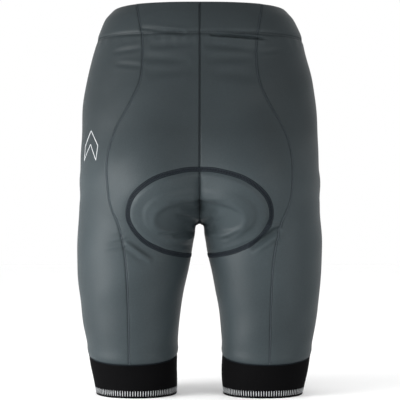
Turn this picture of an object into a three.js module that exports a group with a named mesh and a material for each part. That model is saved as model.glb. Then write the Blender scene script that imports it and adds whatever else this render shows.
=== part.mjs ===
// Padded cycling shorts in their worn shape, standing upright on the two leg hems.
// Millimetres. +Z is up, +X is the wearer's left, and -Y is the wearer's front.
// The origin is on the ground, midway between the legs and midway between front and back.
//
// The body that fills the shorts is a smooth blend of a torso, two legs and two seat lobes. Every
// piece lies on that body: a place on it is found by its level, its way round, and its depth below
// the outer face of the fabric.
import * as THREE from "three";

// ---- Driving dimensions ----
const waistLevel = 512.5; // height of the waist edge at the hip side
const hipLevel = 300; // widest part of the seat
const crotchLevel = 230; // underside of the crotch
const bandHeight = 41.5; // folded waistband
const gripperLevel = 53; // top of the elastic leg band, at the side of the leg
const fabric = 1.4; // thickness of the stretch fabric
const bandFabric = 1.8; // thickness of the elastic leg band
const foldDepth = 6.6; // the waistband over both layers of fabric and the elastic
const gap = 0.3; // clearance between neighbouring pieces
const seamHalf = 1.5; // half the width of a flatlock seam
const edgeHalf = seamHalf + gap; // where a panel ends, beside its seam
const legAxis = 86; // the centre of a leg, from the middle of the shorts
const padTop = 300; // top edge of the seat pad, at back and front
const padBackHalf = 93; // half width of the pad at the back
const padFrontHalf = 60; // half width of the pad at the front
const padBottom = 186.5; // lowest edge of the pad, on the inner thigh
const stitchHalf = 3.3; // half the width of the flatlock round the pad

const { abs, atan2, cos, hypot, max, min, PI, sin } = Math;
const { clamp, lerp, smoothstep } = THREE.MathUtils;
const point = (x, y, z) => new THREE.Vector3(x, y, z);

// ---- Smooth curves through [position, value] stations, level beyond their ends ----
function through(stations) {
  const slopes = stations.map((_, i) => {
    const [from, before] = stations[max(i - 1, 0)];
    const [to, after] = stations[min(i + 1, stations.length - 1)];
    return (after - before) / (to - from);
  });
  return (at) => {
    const next = stations.findIndex(([position]) => position > at);
    if (next === 0) return stations[0][1];
    if (next < 0) return stations.at(-1)[1];
    const [start, low] = stations[next - 1];
    const [end, high] = stations[next];
    const t = (at - start) / (end - start);
    const bend = (1 - t) * slopes[next - 1] - t * slopes[next];
    return lerp(low, high, t * t * (3 - 2 * t)) + (end - start) * t * (1 - t) * bend;
  };
}

// ---- The body ----
const torsoHalfWidth = through([
  [300, 157], [350, 158.5], [400, 155], [450, 144.5], [476, 137], [490, 131.6],
  [502, 126], [510, 119.5], [518, 112],
]);
const torsoBack = through([[300, 98], [350, 104], [400, 101], [450, 95], [490, 93], [516, 86]]);
const torsoFront = through([[300, 107], [360, 111], [420, 105], [455, 97], [475, 89]]);
const legOuter = through([
  [0, 139], [45, 147.5], [85, 154.5], [139, 162], [193, 165], [250, 161.5], [300, 152],
]);
const legInner = through([[0, 31.5], [20, 30.4], [60, 30.4], [112, 26.3], [166, 15.8], [220, 6], [300, 0]]);
const legBack = through([[0, 56], [50, 61], [100, 68], [150, 75], [200, 80], [300, 88]]);
const legFront = through([[0, 57], [50, 63], [100, 71], [150, 79], [200, 84], [300, 88]]);
const torsoRound = 57; // how far the torso's rounded underside hangs below the hip level
const legTop = 286; // the legs round off above this, inside the torso
const legRound = 80;
const seatLobe = { x: 58, y: 34, z: 296, halfX: 76, halfY: 78, halfZ: 84 };
const torsoPower = 2.4; // squarer than an ellipse
const legPower = 2.15;
const legBlend = 6; // how widely the two legs run into each other
const torsoBlend = 24; // the same for the legs and the torso
const lobeBlend = 30; // the same for the seat lobes and the rest

// How far an offset from an oval's centre reaches past the oval, along its own ray.
function pastOval(dx, dy, dz, halfX, halfY, halfZ, power) {
  const sum = (abs(dx) / halfX) ** power + (abs(dy) / halfY) ** power + (abs(dz) / halfZ) ** power;
  const size = sum ** (1 / power);
  const reach = hypot(dx, dy, dz);
  return size > 1e-6 ? reach - reach / size : -min(halfX, halfY);
}

function smoothUnion(a, b, blend) {
  const near = max(blend - abs(a - b), 0) / blend;
  return min(a, b) - (near * near * blend) / 4;
}

function pastLeg(x, y, z) {
  const outer = legOuter(z);
  const inner = legInner(z);
  const halfY = y > 0 ? legBack(z) : legFront(z);
  const above = max(z - legTop, 0);
  return pastOval(x - (outer + inner) / 2, y, above, (outer - inner) / 2, halfY, legRound, legPower);
}

function pastBody({ x, y, z }) {
  const below = max(hipLevel - z, 0);
  const halfY = y > 0 ? torsoBack(z) : torsoFront(z);
  const torso = pastOval(x, y, below, torsoHalfWidth(z), halfY, torsoRound, torsoPower);
  const legs = smoothUnion(pastLeg(abs(x), y, z), pastLeg(-abs(x), y, z), legBlend);
  const { halfX, halfY: lobeY, halfZ } = seatLobe;
  const lobe = pastOval(abs(x) - seatLobe.x, y - seatLobe.y, z - seatLobe.z, halfX, lobeY, halfZ, 2);
  return smoothUnion(smoothUnion(legs, torso, torsoBlend), lobe, lobeBlend);
}

// The way out of the body at a point, by small steps to both sides. With no freedom it stays level.
const probe = 0.25;
function outward(p, freedom) {
  const along = (axis) => {
    const ahead = p.clone();
    const behind = p.clone();
    ahead[axis] += probe;
    behind[axis] -= probe;
    return (pastBody(ahead) - pastBody(behind)) / (2 * probe);
  };
  return point(along("x"), along("y"), along("z") * freedom);
}

// Moves a point onto the body in a few Newton steps.
const settleSteps = 7;
const leastSlope = 0.02; // keeps the steps short where the way out fades
function settle(p, freedom) {
  const settled = p.clone();
  for (let step = 0; step < settleSteps; step++) {
    const way = outward(settled, freedom);
    settled.addScaledVector(way, -pastBody(settled) / max(way.lengthSq(), leastSlope));
  }
  return settled;
}

// ---- Levels: rows of the pattern, which follow the waist edge above and the leg band below ----
const waistLift = through([[-100, -35], [-60, -25], [0, 0], [50, 4], [95, 5]]);
const gripperTilt = -0.15; // the leg band is lower at the back

function heightAt(level, y) {
  const waist = waistLift(y) * smoothstep(level, hipLevel, waistLevel - bandHeight);
  const band = smoothstep(level, 0, gripperLevel) * (1 - smoothstep(level, gripperLevel, 130));
  return level + waist + gripperTilt * y * band;
}

// Near the crotch the rows may move up and down as they settle on the body.
const freeFrom = crotchLevel - 45;
const freedomAt = (level) =>
  smoothstep(level, freeFrom, freeFrom + 30) * (1 - smoothstep(level, hipLevel, hipLevel + 30));

function settleAt(guess, level) {
  const freedom = freedomAt(level);
  const first = settle(guess, freedom);
  if (freedom > 0) return first;
  const lift = guess.z - heightAt(level, guess.y);
  return settle(point(first.x, first.y, heightAt(level, first.y) + lift), 0);
}

// A point below the outer face. A negative depth is outside it.
function sink(p, level, depth) {
  if (!depth) return p.clone();
  const way = outward(p, freedomAt(level)).normalize();
  return p.clone().addScaledVector(way, -depth);
}

// ---- Seam lines of the left half, by level. `rear` is 1 on the back and -1 on the front ----
// The rise runs from the waist to the crotch, and the inseam from there to the hem.
function centreLine(level, rear) {
  if (level < crotchLevel) return settleAt(point(legInner(level), 0, heightAt(level, 0)), level);
  const depth = rear > 0 ? torsoBack(hipLevel) + 10 : -torsoFront(hipLevel);
  if (level >= hipLevel) return settleAt(point(0, depth, heightAt(level, depth)), level);
  const turn = ((hipLevel - level) / (hipLevel - crotchLevel)) * (PI / 2);
  return settle(point(0, depth * cos(turn), hipLevel - (hipLevel - crotchLevel) * sin(turn)), 1);
}

// The edge of the fabric beside the centre line.
function centreEdge(level, rear, away = edgeHalf) {
  const { x, y, z } = centreLine(level, rear);
  if (level < crotchLevel) return settleAt(point(x, rear * away, z), level);
  const clear = rear * max(rear * y, away);
  return settleAt(point(away, clear, z), level);
}

const backSeamX = through([
  [46, 92], [120, 93], [180, 96], [224, 104], [256, 116], [290, 120], [320, 118.5],
  [350, 110], [385, 90], [415, 76.5], [450, 73], [480, 75], [516, 82],
]);
const frontSeamX = through([[46, 90], [130, 93], [224, 106], [300, 116], [370, 104], [440, 88], [516, 88]]);

// The seam between the side panel and the back or front panel, moved sideways towards the front.
// The search for it starts a seam's usual distance from the middle of the side.
const sideSeamStart = 78;
const sideSeamSteps = 12;
const levelProbe = 2;
function sideSeam(level, rear, sideways = 0) {
  const seamAt = (at) => {
    const y = rear * sideSeamStart;
    const z = heightAt(at, y);
    const x = rear > 0 ? backSeamX(z) : frontSeamX(z);
    const found = point(x, y, z);
    for (let step = 0; step < sideSeamSteps; step++) {
      const slope = outward(found, 0).y;
      found.y -= clamp(pastBody(found) / slope, -12, 12);
      found.z = heightAt(at, found.y);
    }
    return found;
  };
  const here = seamAt(level);
  if (!sideways) return here;
  const down = seamAt(level - levelProbe).sub(seamAt(level + levelProbe));
  const across = down.cross(outward(here, 1)).normalize();
  return settleAt(here.addScaledVector(across, sideways), level);
}

// ---- Closed solids between two faces ----
// Each face is a grid of points, row by row. A closed grid joins its last column to its first.
function solidBetween(outer, inner, closed = false) {
  const rows = outer.length;
  const columns = outer[0].length;
  const at = (face, i, j) => (face * rows + i) * columns + (j % columns);
  const index = [];
  const points = [...outer.flat(), ...inner.flat()];
  const apart = (a, b) => points[a].distanceToSquared(points[b]);
  const quad = (a, b, c, d) => {
    if (apart(a, c) < apart(b, d)) index.push(a, b, c, a, c, d);
    else index.push(a, b, d, b, c, d);
  };
  const across = closed ? columns : columns - 1;
  for (let j = 0; j < across; j++) {
    for (let i = 0; i < rows - 1; i++) {
      quad(at(0, i, j), at(0, i, j + 1), at(0, i + 1, j + 1), at(0, i + 1, j));
      quad(at(1, i, j), at(1, i + 1, j), at(1, i + 1, j + 1), at(1, i, j + 1));
    }
    quad(at(1, 0, j), at(1, 0, j + 1), at(0, 0, j + 1), at(0, 0, j));
    quad(at(0, rows - 1, j), at(0, rows - 1, j + 1), at(1, rows - 1, j + 1), at(1, rows - 1, j));
  }
  for (let i = 0; i < rows - 1 && !closed; i++) {
    const last = columns - 1;
    quad(at(0, i, 0), at(0, i + 1, 0), at(1, i + 1, 0), at(1, i, 0));
    quad(at(0, i + 1, last), at(0, i, last), at(1, i, last), at(1, i + 1, last));
  }
  const geometry = new THREE.BufferGeometry().setFromPoints(points);
  return facingOut(geometry, index);
}

function facingOut(geometry, index) {
  const corner = (k) => new THREE.Vector3().fromBufferAttribute(geometry.getAttribute("position"), index[k]);
  let volume = 0;
  for (let k = 0; k < index.length; k += 3) volume += corner(k).dot(corner(k + 1).cross(corner(k + 2)));
  geometry.setIndex(volume < 0 ? index.toReversed() : index);
  geometry.computeVertexNormals();
  return geometry;
}

// The point a share of the way round the leg from one edge to another, at a level and depth.
function between(from, to, share, level) {
  const polar = (p, whole) => {
    const angle = atan2(p.y, legAxis - p.x);
    return { angle: angle < whole ? angle + 2 * PI : angle, radius: hypot(p.y, legAxis - p.x) };
  };
  const a = polar(from, -0.5);
  const b = polar(to, a.angle);
  const angle = lerp(a.angle, b.angle, share);
  const radius = lerp(a.radius, b.radius, share);
  const y = radius * sin(angle);
  const lift = (p) => p.z - heightAt(level, p.y);
  const z = heightAt(level, y) + lerp(lift(from), lift(to), share);
  return settleAt(point(legAxis - radius * cos(angle), y, z), level);
}

// A row holds [level, depth] for its outer face and for its inner face.
// The waistband's facing comes up inside, and then folds over the waist edge to the outside.
const foldDrop = 2.2; // the fold's corners are cut off by this much down
const foldInset = 1.6; // and by this much inwards
const flatRow = (level, thickness = fabric) => [[level, 0], [level, thickness]];
const facingRow = (below) => [[waistLevel - below, foldDepth], [waistLevel - below, foldDepth - fabric]];
const foldRows = [
  ...[bandHeight - 2, bandHeight / 2, bandHeight / 4, foldDrop].map(facingRow),
  [[waistLevel, foldDepth - foldInset], [waistLevel - fabric, foldDepth - fabric]],
  [[waistLevel, foldInset], [waistLevel - fabric, fabric]],
  [[waistLevel - foldDrop, 0], [waistLevel - foldDrop, fabric]],
];
const sideLevels = [502, 491, 471, 445, 418, 391, 366, 342, 320];
const crotchLevels = [hipLevel, 288, 277, 265, 253, 242, crotchLevel, 222, 212];
const legLevels = [194, 170, 145, 118, 90, 70, gripperLevel + edgeHalf];
const panelRows = [
  ...foldRows,
  ...[...sideLevels, ...crotchLevels, ...legLevels].map((level) => flatRow(level)),
];
const gripperRows = [gripperLevel - edgeHalf, 32, 16, 0].map((level) => flatRow(level, bandFabric));

// A sheet of fabric between two edge lines, which are functions of the level.
// A crowd over 1 sets its columns closer together beside the first edge.
const centreCrowd = 1.4;
function sheet(fromEdge, toEdge, rows, columns, crowd = 1) {
  const shares = Array.from({ length: columns + 1 }, (_, j) => (j / columns) ** crowd);
  const face = (which) =>
    rows.map((row) => {
      const [level, depth] = row[which];
      const from = fromEdge(level);
      const to = toEdge(level);
      return shares.map((share) => {
        const onFace = share === 0 ? from : share === 1 ? to : between(from, to, share, level);
        return sink(onFace, level, depth);
      });
    });
  return solidBetween(face(0), face(1));
}

// ---- Panels and seams ----
const middleColumns = 8; // across a back or front panel
const sideColumns = 11;
const backPanel = () => sheet(
  (level) => centreEdge(level, 1),
  (level) => sideSeam(level, 1, -edgeHalf),
  panelRows, middleColumns, centreCrowd,
);
const sidePanel = () => sheet(
  (level) => sideSeam(level, 1, edgeHalf),
  (level) => sideSeam(level, -1, -edgeHalf),
  panelRows, sideColumns,
);

// The front panel is built from the centre line outwards, so that its narrow columns are at the crotch.
const frontPanel = () => {
  const fromSide = (level) => sideSeam(level, -1, edgeHalf);
  const toCentre = (level) => centreEdge(level, -1);
  const steps = Array.from({ length: middleColumns + 1 }, (_, j) => j / middleColumns);
  const shares = steps.map((step) => 1 - (1 - step) ** centreCrowd);
  const face = (which) =>
    panelRows.map((row) => {
      const [level, depth] = row[which];
      const points = shares.map((share) => between(fromSide(level), toCentre(level), share, level));
      return points.map((p) => sink(p, level, depth));
    });
  return solidBetween(face(0), face(1));
};

function seamBetween(fromEdge, toEdge, rows) {
  const face = (which) =>
    rows.map((row) => {
      const [level, depth] = row[which];
      return [fromEdge(level), toEdge(level)].map((edge) => sink(edge, level, depth));
    });
  return solidBetween(face(0), face(1));
}
const sideSeamStrip = (rear) => seamBetween(
  (level) => sideSeam(level, rear, -seamHalf),
  (level) => sideSeam(level, rear, seamHalf),
  panelRows,
);

// The rise seam runs from the back of the waist, under the crotch, to the front of the waist.
function riseSeam() {
  const rows = panelRows.filter(([[level]]) => level >= crotchLevel);
  const line = (list, rear) => (which) =>
    list.map((row) => {
      const [level, depth] = row[which];
      const middle = centreLine(level, rear);
      const place = (x) => settleAt(point(x, middle.y, middle.z), level);
      return [-seamHalf, seamHalf].map((x) => sink(place(x), level, depth));
    });
  const back = line(rows, 1);
  const front = line(rows.slice(0, -1).reverse(), -1);
  return solidBetween([...back(0), ...front(0)], [...back(1), ...front(1)]);
}

const inseamEdge = (rear) => (level) => centreEdge(level, rear, seamHalf);
const inseamRows = [222, 212, ...legLevels].map((level) => flatRow(level));
const inseam = () => seamBetween(inseamEdge(-1), inseamEdge(1), inseamRows);
const gripperClosure = () => seamBetween(inseamEdge(-1), inseamEdge(1), gripperRows);

// A closed ring round the body. Each row holds a level, with the depths of its outer and inner faces.
// Its points start on an oval and settle from there.
function ring(rows, { middle, halfX, halfY, steps }) {
  const face = (which) =>
    rows.map((row) => {
      const [level, ...depths] = row;
      return Array.from({ length: steps }, (_, j) => {
        const angle = (2 * PI * j) / steps;
        const y = halfY * sin(angle);
        const guess = point(middle - halfX * cos(angle), y, heightAt(level, y));
        return sink(settleAt(guess, level), level, depths[which]);
      });
    });
  return solidBetween(face(0), face(1), true);
}

// ---- Leg band ----
const legSteps = 28;
const legRing = (rows) => ring(rows, { middle: legAxis, halfX: 55, halfY: 57, steps: legSteps });
const gripper = () => sheet(
  (level) => centreEdge(level, 1),
  (level) => centreEdge(level, -1),
  gripperRows, legSteps,
);
const gripperSeam = () => legRing([
  [gripperLevel + seamHalf, 0, bandFabric],
  [gripperLevel - seamHalf, 0, bandFabric],
]);
const trimDepths = [-0.9, -0.35]; // stuck to the outside of the band
const reflectiveTrim = () => legRing([11.5, 3.8].map((level) => [level, ...trimDepths]));
const siliconeDepths = [bandFabric + 0.5, bandFabric + 1.3]; // on the inside of the band
const siliconePrint = () => legRing([38, 10].map((level) => [level, ...siliconeDepths]));

// ---- Waistband ----
const waistRing = (rows) => ring(rows, { middle: 0, halfX: 130, halfY: 93, steps: 44 });
const elasticDepths = [fabric + 1.8, foldDepth - fabric - 0.8];
const elasticBelow = [8, bandHeight / 4, bandHeight / 2, bandHeight - 6]; // from the waist edge
const waistElastic = () => waistRing(elasticBelow.map(
  (below) => [waistLevel - below, ...elasticDepths],
));
const stitchDepths = [-1.2, -0.6];
const waistStitch = () => waistRing([seamHalf, -seamHalf].map(
  (above) => [waistLevel - bandHeight + above, ...stitchDepths],
));

// ---- Seat pad ----
// Its outline is an oval seen from the back and a narrower one seen from the front, joined under the leg.
// A point of it starts behind or in front of the body, and moves straight back or forward onto it.
const outlineStart = 80;
const outlineSteps = 14;
function outlinePoint(turn, rear) {
  const middle = (padTop + padBottom) / 2;
  const halfWidth = rear > 0 ? padBackHalf : padFrontHalf;
  const height = middle + ((padTop - padBottom) / 2) * sin(turn);
  const found = point(halfWidth * cos(turn), rear * outlineStart, height);
  for (let step = 0; step < outlineSteps; step++) {
    found.y -= clamp(pastBody(found) / outward(found, 0).y, -10, 10);
  }
  return found;
}

const topTurn = 0.42 * PI;
const lowTurn = -0.4 * PI;
function padEdgeLine() {
  const turns = [0.5 * PI, topTurn, 0.28 * PI, 0.12 * PI, -0.04 * PI, -0.2 * PI, -0.32 * PI, lowTurn];
  const half = (rear) => turns.map((turn) => outlinePoint(turn, rear));
  const inner = settle(point(legInner(padBottom), 0, padBottom), 0);
  const left = [...half(1), inner, ...half(-1).reverse()];
  const right = left.slice(1, -1).map(({ x, y, z }) => point(-x, y, z)).reverse();
  return new THREE.CatmullRomCurve3([...left, ...right], true, "centripetal");
}
const padEdge = padEdgeLine();

// A flat ribbon along a closed line on the body.
function ribbon(line, half, steps, outerDepth, innerDepth) {
  const middle = line.getSpacedPoints(steps).slice(0, steps).map((p) => settle(p, 1));
  const corners = middle.map((p, i) => {
    const along = middle[(i + 1) % steps].clone().sub(middle[(i + steps - 1) % steps]);
    const across = along.cross(outward(p, 1)).normalize();
    return [-half, half].map((away) => settle(p.clone().addScaledVector(across, away), 1));
  });
  const face = (depth) => [0, 1].map((side) =>
    corners.map((pair) => pair[side].clone().addScaledVector(outward(pair[side], 1).normalize(), -depth)));
  return solidBetween(face(outerDepth), face(innerDepth), true);
}
const padStitch = () => ribbon(padEdge, stitchHalf, 64, -1.6, -0.8); // outside the fabric, in 64 steps

// The pad's grid: rows run from the back edge under the crotch to the front edge.
const padRows = 18;
const padInsetTop = 2; // the pad ends this far below the middle of its stitches
const padShares = [-1, -0.86, -0.62, -0.36, -0.15, 0, 0.15, 0.36, 0.62, 0.86, 1];
function padGrid() {
  const inner = settle(point(legInner(padBottom), 0, padBottom), 0);
  return Array.from({ length: padRows + 1 }, (_, i) => {
    const along = (2 * i) / padRows - 1; // -1 at the back edge, 0 at the crotch, 1 at the front edge
    const rear = along <= 0 ? 1 : -1;
    const level = crotchLevel + (padTop - padInsetTop - crotchLevel) * abs(along);
    const middle = centreLine(level, rear);
    const turn = lerp(-PI / 2, topTurn, abs(along));
    const low = smoothstep(-turn, -lowTurn, PI / 2);
    const edge = outlinePoint(max(turn, lowTurn), rear).lerp(inner, low);
    return padShares.map((share) => {
      const guess = middle.clone().lerp(point(edge.x, edge.y, edge.z), abs(share));
      guess.x *= share < 0 ? -1 : 1;
      return settle(guess, 1);
    });
  });
}
const padFace = padGrid();
const padNormals = padFace.map((row) => row.map((p) => outward(p, 1).normalize()));
const sunkPad = (i, j, depth) => padFace[i][j].clone().addScaledVector(padNormals[i][j], -depth);

// A layer of the pad over part of its grid. The depths are functions of the row and the column.
function padLayer([firstRow, lastRow], [firstColumn, lastColumn], outerDepth, innerDepth) {
  const face = (depth) => {
    const rows = [];
    for (let i = firstRow; i <= lastRow; i++) {
      const row = [];
      for (let j = firstColumn; j <= lastColumn; j++) row.push(sunkPad(i, j, depth(i, j)));
      rows.push(row);
    }
    return rows;
  };
  return solidBetween(face(outerDepth), face(innerDepth));
}
const wholePad = [[0, padRows], [0, padShares.length - 1]];
const backingDepth = fabric + 2.6; // clear of the faceted fabric outside it
const backing = 0.8;
const baseFoam = 3;
const foamDepth = backingDepth + backing + gap;
const insertDepth = foamDepth + baseFoam + gap;
const sitFoam = { rows: [2, 7], columns: [6, 9], thickness: 6 };
const centreFoam = { rows: [8, 14], columns: [4, 6], thickness: 4 };
const mirrorColumns = ([first, last]) => [padShares.length - 1 - last, padShares.length - 1 - first];
const sitFoamRight = { ...sitFoam, columns: mirrorColumns(sitFoam.columns) };

function coverDepth(i, j) {
  const inside = ({ rows, columns }) => i >= rows[0] && i <= rows[1] && j >= columns[0] && j <= columns[1];
  const lift = [sitFoam, sitFoamRight, centreFoam].map((foam) => (inside(foam) ? foam.thickness + gap : 0));
  return insertDepth + max(...lift);
}
const padInsert = ({ rows, columns, thickness }) =>
  padLayer(rows, columns, () => insertDepth, () => insertDepth + thickness);

// ---- Care label, hanging inside the back of the waistband, with its top edge sewn in ----
const label = { width: 30, height: 44, thickness: 0.5 };
const labelTop = centreLine(waistLevel - bandHeight - 1, 1);
const labelPlate = () => new THREE.BoxGeometry(label.width, label.thickness, label.height);

// ---- Size label, printed on a patch inside the back of the waistband ----
const patchAcross = [-14, -7, 0, 7, 14];
const patchBelow = [10, 18, 26]; // from the waist edge
const patchDepths = [foldDepth + 0.8, foldDepth + 1.2];
function sizePatch() {
  const levels = patchBelow.map((below) => waistLevel - below);
  const [outer, inner] = patchDepths.map((depth) => levels.map((level) => {
    const middle = centreLine(level, 1);
    return patchAcross.map((x) => sink(settleAt(point(x, middle.y, middle.z), level), level, depth));
  }));
  return solidBetween(outer, inner);
}

// ---- Reflective print on the left hip: the outline of a chevron ----
const markLineHalf = 0.9;
function hipMark() {
  const centre = { angle: 0.53, z: 329 };
  const hip = { halfX: 165, halfY: 112, bend: 150 }; // an oval just outside the hip, and its radius there
  const outline = [[-19.5, 2.5], [0, 22.5], [19.5, 2.5], [19.5, -16.5], [0, 4.5], [-19.5, -16.5]];
  const corners = outline.map(([across, up]) => {
    const angle = centre.angle + across / hip.bend;
    return settle(point(hip.halfX * cos(angle), hip.halfY * sin(angle), centre.z + up), 0);
  });
  const line = new THREE.CurvePath();
  corners.forEach((corner, i) => line.add(new THREE.LineCurve3(corner, corners[(i + 1) % corners.length])));
  return ribbon(line, markLineHalf, 30, -1.4, -0.9);
}

// ---- Materials ----
const cloth = (color, roughness) => new THREE.MeshStandardMaterial({ color, roughness, metalness: 0 });
const slateFabric = cloth(0x4a5256, 0.55);
const slateThread = cloth(0x3a4146, 0.7);
const darkThread = cloth(0x22282c, 0.7);
const blackElastic = cloth(0x111111, 0.8);
const whiteElastic = cloth(0xd8d8d4, 0.8);
const reflectiveFilm = cloth(0xb8bcc0, 0.35);
const silicone = cloth(0x1b1d20, 0.4);
const padFoam = cloth(0xc9ccca, 0.9);
const padCover = cloth(0x2c3034, 0.85);
const labelCloth = cloth(0xe4e4e0, 0.75);

// ---- Assembly ----
const shorts = new THREE.Group();

function add(name, geometry, material) {
  const mesh = new THREE.Mesh(geometry, material);
  mesh.name = name;
  shorts.add(mesh);
  return mesh;
}

function addPair(name, geometry, material) {
  add(`${name}_left`, geometry, material);
  add(`${name}_right`, geometry, material).scale.x = -1;
}

addPair("back_panel", backPanel(), slateFabric);
addPair("side_panel", sidePanel(), slateFabric);
addPair("front_panel", frontPanel(), slateFabric);
addPair("back_side_seam", sideSeamStrip(1), slateThread);
addPair("front_side_seam", sideSeamStrip(-1), slateThread);
add("rise_seam", riseSeam(), slateThread);
addPair("inseam", inseam(), slateThread);
add("waist_elastic", waistElastic(), whiteElastic);
add("waist_coverstitch", waistStitch(), slateThread);
addPair("leg_gripper", gripper(), blackElastic);
addPair("gripper_seam", gripperSeam(), darkThread);
addPair("gripper_closure_seam", gripperClosure(), darkThread);
addPair("reflective_trim", reflectiveTrim(), reflectiveFilm);
addPair("silicone_print", siliconePrint(), silicone);
add("pad_backing", padLayer(...wholePad, () => backingDepth, () => backingDepth + backing), padFoam);
add("pad_base_foam", padLayer(...wholePad, () => foamDepth, () => foamDepth + baseFoam), padFoam);
add("pad_sit_foam_left", padInsert(sitFoam), padFoam);
add("pad_sit_foam_right", padInsert(sitFoamRight), padFoam);
add("pad_centre_foam", padInsert(centreFoam), padFoam);
add("pad_face_cover", padLayer(...wholePad, coverDepth, (i, j) => coverDepth(i, j) + 1), padCover);
add("pad_flatlock_stitch", padStitch(), darkThread);
add("size_patch", sizePatch(), labelCloth);
add("hip_mark_left", hipMark(), reflectiveFilm);
add("care_label", labelPlate(), labelCloth).position.set(
  0, labelTop.y - fabric - 0.8, labelTop.z - label.height / 2,
);

export default shorts;
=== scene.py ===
"""Looks for the padded cycling shorts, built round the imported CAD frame.

The fabric follows the same smooth body as the CAD: a blend of a torso, two legs and two seat lobes.
All shape work is in millimetres, with +Z up, +X to the wearer's left and -Y to the wearer's front.
Only `add_mesh` turns millimetres into metres.
"""
import math

import bpy
import numpy as np
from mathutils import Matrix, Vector


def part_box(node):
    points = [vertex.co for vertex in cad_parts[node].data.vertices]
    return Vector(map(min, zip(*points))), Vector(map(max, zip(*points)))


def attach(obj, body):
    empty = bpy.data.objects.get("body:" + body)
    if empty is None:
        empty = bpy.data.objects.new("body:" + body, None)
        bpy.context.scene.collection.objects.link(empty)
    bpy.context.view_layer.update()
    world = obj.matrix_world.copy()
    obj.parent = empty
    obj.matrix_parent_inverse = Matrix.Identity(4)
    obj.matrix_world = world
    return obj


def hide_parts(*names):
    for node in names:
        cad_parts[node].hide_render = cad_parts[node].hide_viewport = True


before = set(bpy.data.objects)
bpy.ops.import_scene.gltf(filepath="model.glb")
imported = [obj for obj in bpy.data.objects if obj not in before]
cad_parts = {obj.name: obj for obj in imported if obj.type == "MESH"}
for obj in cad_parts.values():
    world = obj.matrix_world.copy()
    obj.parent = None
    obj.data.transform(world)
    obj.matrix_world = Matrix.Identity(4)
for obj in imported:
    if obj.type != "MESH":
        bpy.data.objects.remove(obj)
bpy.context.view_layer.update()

# ---- Driving dimensions, in millimetres ----
WAIST_LEVEL = 512.5  # height of the waist edge at the hip side
HIP_LEVEL = 300  # widest part of the seat
CROTCH_LEVEL = 230  # underside of the crotch
BAND_HEIGHT = 41.5  # folded waistband
GRIPPER_LEVEL = 53  # top of the elastic leg band, at the side of the leg
FABRIC = 1.2  # thickness of the stretch fabric
BAND_FABRIC = 1.6  # thickness of the elastic leg band
FOLD_DEPTH = 6.2  # the waistband, over both layers of fabric and the elastic
SEAM_HALF = 0.9  # half the width of a flatlock seam
LEG_AXIS = 86  # the centre of a leg, from the middle of the shorts
PAD_TOP = 300
PAD_BOTTOM = 186.5
PAD_BACK_HALF = 93
PAD_FRONT_HALF = 60
PAD_MIDDLE = (PAD_TOP + PAD_BOTTOM) / 2
PAD_HALF_HEIGHT = (PAD_TOP - PAD_BOTTOM) / 2
RING_HALF = 3.9  # half the width of the flatlock ring round the pad
MESH_STEP = 2.4  # spacing of the rows and columns of the fabric


def smoothstep(x, low, high):
    t = np.clip((np.asarray(x, float) - low) / (high - low), 0, 1)
    return t * t * (3 - 2 * t)


def bump(x, width):
    """1 at x = 0, fading smoothly to nothing past about twice the width."""
    return np.exp(-((np.asarray(x, float) / width) ** 2))


def through(stations):
    """A smooth curve through (position, value) stations, level beyond its ends."""
    at, value = np.array(stations, float).T
    last = len(at) - 1
    before = np.maximum(np.arange(last + 1) - 1, 0)
    after = np.minimum(np.arange(last + 1) + 1, last)
    slope = (value[after] - value[before]) / (at[after] - at[before])

    def curve(x):
        x = np.asarray(x, float)
        i = np.clip(np.searchsorted(at, x, side="right") - 1, 0, last - 1)
        width = at[i + 1] - at[i]
        t = np.clip((x - at[i]) / width, 0, 1)
        bend = (1 - t) * slope[i] - t * slope[i + 1]
        return value[i] + (value[i + 1] - value[i]) * t * t * (3 - 2 * t) + width * t * (1 - t) * bend

    return curve


# ---- The body that fills the shorts ----
torso_half_width = through([
    (300, 157), (350, 158.5), (400, 155), (450, 144.5), (476, 137), (490, 131.6), (502, 126), (510, 119.5),
    (518, 112),
])
torso_back = through([(300, 98), (350, 104), (400, 101), (450, 95), (490, 93), (516, 86)])
torso_front = through([(300, 107), (360, 111), (420, 105), (455, 97), (475, 89)])
leg_outer = through([(0, 139), (45, 147.5), (85, 154.5), (139, 162), (193, 165), (250, 161.5), (300, 152)])
leg_inner = through([(0, 31.5), (20, 30.4), (60, 30.4), (112, 26.3), (166, 15.8), (220, 6), (300, 0)])
leg_back = through([(0, 56), (50, 61), (100, 68), (150, 75), (200, 80), (300, 88)])
leg_front = through([(0, 57), (50, 63), (100, 71), (150, 79), (200, 84), (300, 88)])
TORSO_ROUND = 57
LEG_TOP = 286
LEG_ROUND = 80
SEAT_LOBE_AT = (58, 34, 296)
SEAT_LOBE_HALF = (76, 78, 84)
TORSO_POWER = 2.4
LEG_POWER = 2.15


def past_oval(dx, dy, dz, half_x, half_y, half_z, power):
    """How far an offset from an oval's centre reaches past the oval, along its own ray."""
    total = np.abs(dx / half_x) ** power + np.abs(dy / half_y) ** power + np.abs(dz / half_z) ** power
    size = np.maximum(total, 1e-9) ** (1 / power)
    reach = np.sqrt(dx * dx + dy * dy + dz * dz)
    return reach - reach / size


def smooth_union(a, b, blend):
    near = np.maximum(blend - np.abs(a - b), 0) / blend
    return np.minimum(a, b) - near * near * blend / 4


def past_leg(x, y, z):
    outer, inner = leg_outer(z), leg_inner(z)
    half_y = np.where(y > 0, leg_back(z), leg_front(z))
    above = np.maximum(z - LEG_TOP, 0)
    return past_oval(x - (outer + inner) / 2, y, above, (outer - inner) / 2, half_y, LEG_ROUND, LEG_POWER)


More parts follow.
